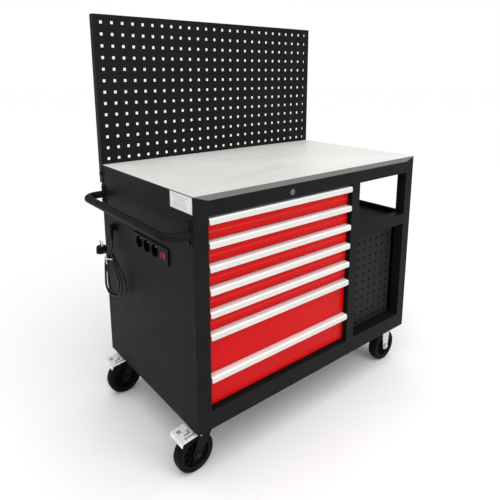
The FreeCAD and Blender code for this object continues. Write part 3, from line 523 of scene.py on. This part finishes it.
def lead_points():
    """From the gland down into the hank, three turns with two folds over the top, and out to the plug."""
    points = [Vector(place) for place in LEAD_ROUTE]
    points += turn((-26, 117), (-1, 134), -42, 42, 5, (LAYER, LAYER), True)
    points += top_fold(-1, -17, LAYER)
    points += turn((-17, 134), (-18, 134), -23, 19, 19, (LAYER, -LAYER), False)
    points += top_fold(-18, -2, -LAYER)
    points += turn((-2, 134), (-29.5, 134), -34, 31, 7, (-LAYER, -LAYER), False)
    points += [in_hank(-29.5, -3.6, 134), in_hank(-28, -2.4, 145), Vector((-44.2, 479.2, 418)),
               Vector((-43.2, 483, 421.3)), Vector((-43, 488, 421.5)), Vector((-43, 494, 421.5))]
    return points


def tube_curve(name, radius, sides, steps):
    """An empty curve that shows as a round capped tube."""
    curve = bpy.data.curves.new(name, "CURVE")
    curve.dimensions = "3D"
    curve.bevel_depth = radius
    curve.bevel_resolution = sides
    curve.resolution_u = steps
    curve.use_fill_caps = True
    return curve


def add_spline(curve, places):
    """One open smooth spline whose control points are given in cabinet millimetres."""
    spline = curve.splines.new("NURBS")
    spline.points.add(len(places) - 1)
    for point, place in zip(spline.points, places):
        point.co = (*cab(*place), 1)
    spline.order_u = 3
    spline.use_endpoint_u = True


def make_lead():
    curve = tube_curve("mains_lead_cord", LEAD_RADIUS, 4, 8)
    add_spline(curve, lead_points())
    piece = add_object("mains_lead_cord", curve, "cabinet", CABLE)
    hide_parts("mains_lead", "lead_hank")
    return piece


PLUG_THICK = 25 * MM
PLUG_RIBS = 9
PIN_SPREAD = 9.5 * MM        # from the middle of the plug to each pin
SLEEVE_STEPS = 12


def sleeve_profile(length):
    """The plug's relief sleeve: it tapers, with rings in its outer part."""
    profile = [(0, 0)]
    for step in range(SLEEVE_STEPS + 1):
        share = step / SLEEVE_STEPS
        radius = (8.2 - 3.6 * share) * MM
        if share > 0.4 and step % 2 == 0:
            radius *= 0.86
        profile.append((radius, length * share))
    return profile + [(0, length)]


def make_plug():
    """An angled plug: a tapered round body with grip ribs, two pins up and a ringed relief sleeve."""
    low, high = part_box("mains_plug")
    radius = (high.x - low.x) / 2
    middle = Vector(((low.x + high.x) / 2, high.y - radius, 0))
    base = low.z
    bm = bmesh.new()
    body = lathe([(0, 0), (radius * 0.8, 0), (radius * 0.95, 1 * MM), (radius, 3.5 * MM),
                  (radius * 0.965, PLUG_THICK * 0.45), (radius * 0.93, PLUG_THICK * 0.8),
                  (radius * 0.9, PLUG_THICK - 1 * MM), (radius * 0.84, PLUG_THICK), (0, PLUG_THICK)])
    join_into(bm, body, Matrix.Translation((middle.x, middle.y, base)))
    for step in range(PLUG_RIBS):
        angle = math.radians(-80 + 20 * step)
        rib = block((1.6 * MM, 1.4 * MM, 14 * MM), 0.5 * MM)
        place = Vector((middle.x + math.cos(angle) * radius * 0.965,
                        middle.y + math.sin(angle) * radius * 0.965, base + 11 * MM))
        join_into(bm, rib, Matrix.Translation(place) @ Matrix.Rotation(angle, 4, "Z"))
    length = middle.y - low.y
    join_into(bm, lathe(sleeve_profile(length), 40),
              axis_matrix((middle.x, middle.y, base + PLUG_THICK / 2), (0, -1, 0)))
    plug = mesh_object("mains_plug_body", bm, "cabinet", PLASTIC)
    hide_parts("mains_plug")
    pins = bmesh.new()
    for side in (-PIN_SPREAD, PIN_SPREAD):
        pin = lathe([(0, 0), (2.4 * MM, 0), (2.4 * MM, 17 * MM), (1.6 * MM, 18.6 * MM), (0, 19 * MM)], 24)
        join_into(pins, pin,
                  Matrix.Translation((middle.x, middle.y + side, base + PLUG_THICK - 0.1 * MM)))
    pins = mesh_object("mains_plug_pins", pins, "cabinet", CHROME)
    return plug, pins


RELIEF_RINGS = 8


def make_gland():
    """The moulded entry: a flange, a hood that turns the lead down, and a segmented bend relief."""
    low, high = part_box("cable_gland")
    y = (low.y + high.y) / 2
    middle = high.z - 13 * MM
    bm = bmesh.new()
    join_into(bm, block((4.5 * MM, 25.6 * MM, 25.6 * MM), 2 * MM),
              Matrix.Translation((high.x - 2.3 * MM, y, middle)))
    hood_out = high.x - low.x - 1 * MM
    hood = block((hood_out, 20 * MM, 20 * MM), 6 * MM, 5)
    join_into(bm, hood, Matrix.Translation((low.x + hood_out / 2 + 0.6 * MM, y, middle)))
    lead_x = high.x - 12.7 * MM
    profile = [(0, 0), (4.6 * MM, 0)]
    length = high.z - 16 * MM - low.z
    for step in range(1, RELIEF_RINGS + 1):
        share = step / RELIEF_RINGS
        radius = (4.6 + 2.8 * share) * MM
        profile += [(radius, length * (share - 0.09)), (radius * 0.82, length * (share - 0.06)),
                    (radius * 0.82, length * (share - 0.02))]
    profile += [(7.6 * MM, length), (0, length)]
    join_into(bm, lathe(profile, 40), Matrix.Translation((lead_x, y, low.z)))
    gland = mesh_object("cable_gland_moulding", bm, "cabinet", PLASTIC)
    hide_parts("cable_gland")
    return gland


TIE_WIRE = 0.9 * MM
WRAP_STEPS = 16
TWIST_STEPS = 22


def flattened(wave):
    """A sine or cosine with its peaks spread out, for a loop that is nearly a rectangle."""
    return math.copysign(abs(wave) ** 0.6, wave)


def make_tie():
    """A coated wire tie wound twice round the neck of the hank, with its twisted ends standing up."""
    curve = tube_curve("lead_tie", TIE_WIRE, 3, 6)
    loop = []
    for wrap in range(2):
        for step in range(WRAP_STEPS):
            angle = math.tau * step / WRAP_STEPS
            loop.append(in_hank(-16 + 19.5 * flattened(math.cos(angle)),
                                1.4 + 10.4 * flattened(math.sin(angle)), 135 + wrap * 2.2 + step * 0.13))
    add_spline(curve, loop)
    for phase in (0, math.pi):
        twist = []
        for step in range(TWIST_STEPS):
            angle = phase + step * 0.9
            twist.append(in_hank(-22 + 1.1 * math.cos(angle), -10.6 + 1.1 * math.sin(angle),
                                 122 + step * 1.7))
        add_spline(curve, twist)
    return add_object("lead_tie", curve, "cabinet", PEDAL)


# ---------------------------------------------------------------- wheels
TYRE_BED = 47.5 * MM         # radius where the tyre sits on the hub
AXLE_BORE = 6.05 * MM
HALF_BOSS = 20 * MM
HUB_RIBS = 10
WHEEL_STEPS = 96


def wheel_sizes(place):
    """Middle, radius and half width of a wheel."""
    low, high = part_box("tyre_" + place)
    return (low + high) / 2, (high.z - low.z) / 2, (high.y - low.y) / 2


def flipped(section):
    """The same section on the other side of the wheel's middle plane."""
    return [(radius, -height) for radius, height in reversed(section)]


def turned_ring(section):
    """A ring turned about Z from a closed section."""
    bm = lathe(section + [section[0]], WHEEL_STEPS)
    bmesh.ops.remove_doubles(bm, verts=bm.verts, dist=WELD)
    return bm


def stand_wheel(bm, middle):
    """Turn a ring's axis to Y and move it to the wheel's middle."""
    bmesh.ops.transform(bm, matrix=axis_matrix(middle, (0, 1, 0)), verts=bm.verts)


def make_tyre(place, body):
    """A tyre with a groove near its bead, round shoulders and a flat tread."""
    middle, radius, half = wheel_sizes(place)
    side = [(TYRE_BED, 0), (TYRE_BED + 3 * MM, 0), (TYRE_BED + 3.6 * MM, 0.9 * MM), (TYRE_BED + 4.4 * MM, 0),
            (radius - 8 * MM, 0), (radius - 6 * MM, 0.3 * MM), (radius - 3.4 * MM, 1.6 * MM),
            (radius - 1.5 * MM, 4 * MM), (radius - 0.5 * MM, 7.5 * MM), (radius, 11 * MM)]
    side = [(point_radius, depth - half) for point_radius, depth in side]
    bm = turned_ring(side + [(radius, 0)] + flipped(side))
    stand_wheel(bm, middle)
    tyre = mesh_object("tyre_mesh_" + place, bm, body, TYRE)
    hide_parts("tyre_" + place)


def make_hub(place, body):
    """A hub with a boss, a dished web, ribs on both sides and a rim."""
    middle, _, half = wheel_sizes(place)
    side = [(AXLE_BORE, -HALF_BOSS), (12 * MM, -HALF_BOSS), (13.4 * MM, -HALF_BOSS + 1.4 * MM),
            (14 * MM, -9 * MM), (17 * MM, -6 * MM), (36 * MM, -5 * MM), (41 * MM, -7.5 * MM),
            (43 * MM, -half + 1 * MM), (44 * MM, -half), (TYRE_BED - 0.02 * MM, -half)]
    bm = turned_ring(side + flipped(side))
    for face in (-1, 1):
        for step in range(HUB_RIBS):
            rib = block((25 * MM, 2.6 * MM, 9 * MM), 0.8 * MM)
            spin = Matrix.Rotation(math.tau * step / HUB_RIBS, 4, "Z")
            join_into(bm, rib, spin @ Matrix.Translation((28.5 * MM, 0, face * 8.5 * MM)))
    stand_wheel(bm, middle)
    hub = mesh_object("hub_mesh_" + place, bm, body, HUB)
    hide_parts("hub_" + place)


def make_wheels():
    for place in ("left_front", "left_rear", "right_front", "right_rear"):
        make_tyre(place, "wheel_" + place)
        make_hub(place, "wheel_" + place)


# ---------------------------------------------------------------- small trim
LABEL_MIDDLE = (0, 59, 680)  # cabinet millimetres
LABEL_WIDE = 112
LABEL_TALL = 46
LABEL_LINES = 6


def make_label():
    """A white label on the left side panel, with a thin grey frame and plain lines in place of writing."""
    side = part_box("left_side_panel")[0].x
    middle = cab(*LABEL_MIDDLE)
    bm = bmesh.new()
    join_into(bm, block((0.4 * MM, LABEL_WIDE * MM, LABEL_TALL * MM), 0.15 * MM, 1),
              Matrix.Translation((side - 0.22 * MM, middle.y, middle.z)))
    mesh_object("side_label", bm, "cabinet", PAPER)
    bm = bmesh.new()
    lines = [(0, 20.4, 106, 0.7), (0, -20.4, 106, 0.7), (-52.6, 0, 0.7, 41.4), (52.6, 0, 0.7, 41.4)]
    lines += [(4, 14 - 5.5 * row, 84 - (row * 29) % 34, 1.1) for row in range(LABEL_LINES)]
    for y, z, wide, tall in lines:
        line = block((0.1 * MM, wide * MM, tall * MM))
        join_into(bm, line, Matrix.Translation((side - 0.45 * MM, middle.y + y * MM, middle.z + z * MM)))
    mesh_object("side_label_frame", bm, "cabinet", EMBOSSED)


TREAD_RUN = 61               # how far a pedal's tread reaches outwards, mm
TREAD_FALL = 7               # how far it falls over that run, mm
TREAD_START = 62             # from the pedal's outer end to the start of the tread, mm


def pedal_bars():
    """Two nested angle brackets and a pad: middle down and across the tread, length and width, in mm."""
    bars = []
    for inset in (0, 13):
        reach = 40 - inset * 1.5
        across = (44 - inset * 2) * 0.85
        bars.append((inset + reach / 2 + 6, inset - 22, reach, 6))
        bars.append((inset + 9, inset - 22 + across / 2, 6, across))
    bars.append((44, 14, 12, 14))
    return bars


def make_pedal_pattern(place):
    """The pattern raised on the tread of a brake pedal."""
    low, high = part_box("brake_pedal_" + place)
    slope = math.atan2(TREAD_FALL, TREAD_RUN)
    bm = bmesh.new()
    for down, side, long, wide in pedal_bars():
        bar = block((long * MM, wide * MM, 1.1 * MM), 0.45 * MM)
        middle = Matrix.Translation((low.x + (TREAD_START - down) * MM, (low.y + high.y) / 2 + side * MM,
                                     high.z + 0.1 * MM - down * MM * math.tan(slope)))
        join_into(bm, bar, middle @ Matrix.Rotation(-slope, 4, "Y"))
    mesh_object("pedal_pattern_" + place, bm, "pedal_" + place, EMBOSSED)


DRAWERS = 7
MAT_MARGIN = 16 * MM         # from the sides of the tray, which include its slide members, to the mat
MAT_GAP = 2 * MM             # from the front and rear of the tray to the mat
MAT_THICK = 2 * MM


def make_drawer_liners():
    """A ribbed rubber mat in the bottom of each drawer."""
    for number in range(1, DRAWERS + 1):
        low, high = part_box(f"drawer_{number}_tray")
        mat = block((high.x - low.x - MAT_MARGIN * 2, high.y - low.y - MAT_GAP * 2, MAT_THICK), 0.5 * MM, 2)
        bm = bmesh.new()
        join_into(bm, mat, Matrix.Translation(((low.x + high.x) / 2, (low.y + high.y) / 2, low.z + 2.1 * MM)))
        mesh_object(f"drawer_mat_{number}", bm, f"drawer_{number}", MAT)


SOCKETS = 3
FIRST_SOCKET = 78 * MM       # from the front end of the strip
SOCKET_PITCH = 50 * MM
EARTH_PIN_UP = 11 * MM       # above the middle of a socket


def make_strip_trim():
    """Rims round the three sockets, and their earth pins."""
    low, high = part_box("power_strip")
    middle = (low.z + high.z) / 2
    places = [low.y + FIRST_SOCKET + SOCKET_PITCH * index for index in range(SOCKETS)]
    bm = bmesh.new()
    for y in places:
        rim = lathe([(19 * MM, 0), (22 * MM, 0), (21.6 * MM, 1 * MM), (20 * MM, 1.5 * MM), (19 * MM, 1 * MM),
                     (19 * MM, 0)], 64)
        bmesh.ops.remove_doubles(rim, verts=rim.verts, dist=WELD)
        join_into(bm, rim, axis_matrix((low.x + 0.4 * MM, y, middle), (-1, 0, 0)))
    mesh_object("socket_rims", bm, "cabinet", PLASTIC)
    bm = bmesh.new()
    for y in places:
        pin = lathe([(0, 0), (2.2 * MM, 0), (2.2 * MM, 9 * MM), (1.3 * MM, 10.4 * MM), (0, 10.6 * MM)], 24)
        join_into(bm, pin, axis_matrix((low.x + 14.9 * MM, y, middle + EARTH_PIN_UP), (-1, 0, 0)))
    mesh_object("socket_earth_pins", bm, "cabinet", CHROME)


# ---------------------------------------------------------------- surroundings
FLOOR_SIZE = 30              # half the floor's side, m
FLOOR_GAP = 0.5 * MM         # the floor lies this far under the tyres
BENCH_SKY = 0.55             # strength of the white world on the bench, against 1 behind it


def make_stage():
    """A plain pale floor."""
    floor = bmesh.new()
    bmesh.ops.create_grid(floor, x_segments=1, y_segments=1, size=FLOOR_SIZE)
    mesh = bpy.data.meshes.new("floor")
    floor.to_mesh(mesh)
    floor.free()
    piece = bpy.data.objects.new("floor", mesh)
    bpy.context.scene.collection.objects.link(piece)
    made = Finish("floor", (0.93, 0.93, 0.93), 0.7)
    made.tint(made.noise(0.6, detail=3), 0.985, 1.0)
    mesh.materials.append(made.material)
    piece.location = (0, 0, min(0, cad_box[0].z) - FLOOR_GAP)


def area_light(name, place, aim, power, size):
    data = bpy.data.lights.new(name, "AREA")
    data.shape = "RECTANGLE"
    data.size, data.size_y = size
    data.energy = power
    light = bpy.data.objects.new(name, data)
    light.location = place
    light.rotation_mode = "QUATERNION"
    light.rotation_quaternion = (Vector(aim) - Vector(place)).to_track_quat("-Z", "Y")
    bpy.context.scene.collection.objects.link(light)


def make_world():
    """White behind the bench, and dimmer in the light that it throws on the bench."""
    world = bpy.data.worlds.new("studio")
    bpy.context.scene.world = world
    world.use_nodes = True
    nodes, links = world.node_tree.nodes, world.node_tree.links
    background = nodes["Background"]
    background.inputs["Color"].default_value = (1, 1, 1, 1)
    path = nodes.new("ShaderNodeLightPath")
    level = nodes.new("ShaderNodeMapRange")
    level.inputs["To Min"].default_value = BENCH_SKY
    level.inputs["To Max"].default_value = 1.0
    links.new(path.outputs["Is Camera Ray"], level.inputs["Value"])
    links.new(level.outputs["Result"], background.inputs["Strength"])


def make_light():
    """The world, a broad overhead light and a soft one from the front."""
    make_world()
    sun = bpy.data.lights.new("overhead", "SUN")
    sun.energy = 1.9
    sun.angle = math.radians(70)
    overhead = bpy.data.objects.new("overhead", sun)
    overhead.rotation_euler = (math.radians(14), math.radians(-8), 0)
    bpy.context.scene.collection.objects.link(overhead)
    area_light("front", (0.9, -4.0, 1.9), (0, 0, 0.5), 45, (2.6, 1.6))
    bpy.context.scene.view_settings.view_transform = "Standard"


make_camera()
dress_nodes()
lead = make_lead()
plug, pins = make_plug()
gland = make_gland()
tie = make_tie()
make_wheels()
make_label()
for place in ("front", "rear"):
    make_pedal_pattern(place)
make_drawer_liners()
make_strip_trim()
make_stage()
make_light()
